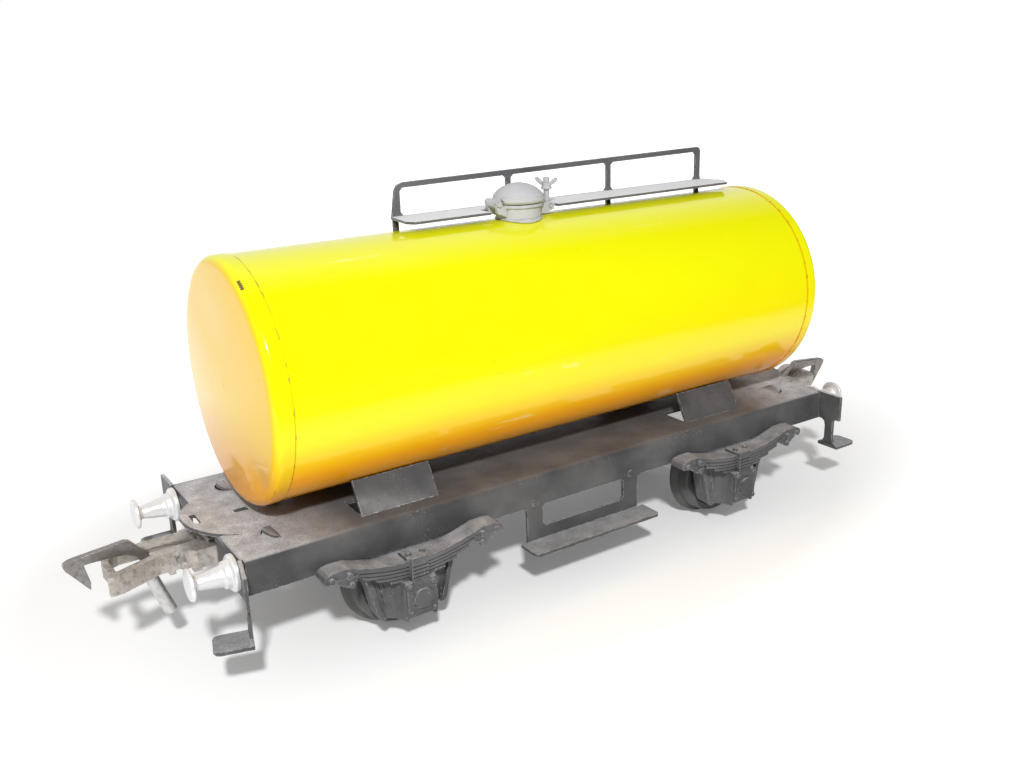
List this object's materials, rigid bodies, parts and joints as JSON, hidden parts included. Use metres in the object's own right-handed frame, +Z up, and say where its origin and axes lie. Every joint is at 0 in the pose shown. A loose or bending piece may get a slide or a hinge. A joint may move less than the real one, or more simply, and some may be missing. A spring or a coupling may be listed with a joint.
{
  "type": "model tank wagon",
  "caption": "Tinplate model tank wagon with domed tank, railed walkway, hinged manhole lid, sprung axle guards, flanged wheels, buffers and hook-and-loop couplers.",
  "frame": {"origin": "centre of the wagon on the surface the wheels stand on", "axes": "+X along the wagon towards its right end, +Y across it towards the railing side, +Z up"},
  "size_m": [0.1122, 0.031, 0.0477],
  "materials": {
    "black_tin": "satin black stove enamel on pressed tin, dusty and worn at the edges",
    "yellow_tin": "gloss yellow litho print on rolled tin, lightly scratched",
    "dark_strip": "satin dark grey enamel on thin sheet",
    "grey_casting": "light grey painted zinc casting",
    "black_casting": "blackened zinc casting with bright rubbed corners",
    "dark_wheel": "darkened zinc wheels",
    "axle_steel": "plain turned steel",
    "buffer_white": "bright turned buffers, nearly white",
    "coupler_zinc": "weathered brownish zinc casting",
    "hook_steel": "darkened sheet steel",
    "pin_steel": "plated steel pin"
  },
  "bodies": {
    "wagon_frame": {"chassis_pan": "black_tin", "tank_barrel": "yellow_tin", "tank_cap_left": "yellow_tin", "tank_cap_right": "yellow_tin", "walkway_railing": "dark_strip", "manhole_neck": "grey_casting", "lid_hinge_pin": "pin_steel", "axle_guard_left_near": "black_casting", "axle_guard_left_far": "black_casting", "axle_guard_right_near": "black_casting", "axle_guard_right_far": "black_casting", "buffer_left_near": "buffer_white", "buffer_left_far": "buffer_white", "buffer_right_near": "buffer_white", "buffer_right_far": "buffer_white", "coupler_rivet_left": "axle_steel", "coupler_rivet_right": "axle_steel"},
    "manhole_cover": {"manhole_lid": "grey_casting"},
    "swing_bolt": {"lid_swing_bolt": "grey_casting"},
    "wing_nut": {"lid_wing_nut": "grey_casting"},
    "wheelset_left": {"axle_left": "axle_steel", "wheel_left_near": "dark_wheel", "wheel_left_far": "dark_wheel"},
    "wheelset_right": {"axle_right": "axle_steel", "wheel_right_near": "dark_wheel", "wheel_right_far": "dark_wheel"},
    "coupler_left": {"coupler_body_left": "coupler_zinc", "hook_pin_left": "pin_steel"},
    "hook_left": {"coupler_hook_left": "hook_steel", "release_pin_left": "pin_steel"},
    "coupler_right": {"coupler_body_right": "coupler_zinc", "hook_pin_right": "pin_steel"},
    "hook_right": {"coupler_hook_right": "hook_steel", "release_pin_right": "pin_steel"}
  },
  "joints": [
    {"name": "lid_hinge", "type": "hinge", "parent": "wagon_frame", "child": "manhole_cover", "pos_m": [-0.00405, -0.0004, 0.0441], "axis": [0, -1, 0], "range_deg": [0, 100]},
    {"name": "bolt_swing", "type": "hinge", "parent": "wagon_frame", "child": "swing_bolt", "pos_m": [0.0035, -0.0004, 0.04315], "axis": [0, 1, 0], "range_deg": [0, 60]},
    {"name": "nut_spin", "type": "hinge", "parent": "swing_bolt", "child": "wing_nut", "pos_m": [0.0035, -0.0004, 0.04515], "axis": [0, 0, 1], "continuous": true},
    {"name": "wheelset_left_spin", "type": "hinge", "parent": "wagon_frame", "child": "wheelset_left", "pos_m": [-0.024, 0, 0.0061], "axis": [0, 1, 0], "continuous": true},
    {"name": "wheelset_right_spin", "type": "hinge", "parent": "wagon_frame", "child": "wheelset_right", "pos_m": [0.024, 0, 0.0061], "axis": [0, 1, 0], "continuous": true},
    {"name": "coupler_left_swing", "type": "hinge", "parent": "wagon_frame", "child": "coupler_left", "pos_m": [-0.0345, 0, 0.0127], "axis": [0, 0, 1], "range_deg": [-8, 8]},
    {"name": "hook_left_lift", "type": "hinge", "parent": "coupler_left", "child": "hook_left", "pos_m": [-0.0451, 0, 0.0117], "axis": [0, 1, 0], "range_deg": [0, 12]},
    {"name": "coupler_right_swing", "type": "hinge", "parent": "wagon_frame", "child": "coupler_right", "pos_m": [0.0345, 0, 0.0127], "axis": [0, 0, 1], "range_deg": [-8, 8]},
    {"name": "hook_right_lift", "type": "hinge", "parent": "coupler_right", "child": "hook_right", "pos_m": [0.0451, 0, 0.0117], "axis": [0, -1, 0], "range_deg": [0, 12]}
  ]
}
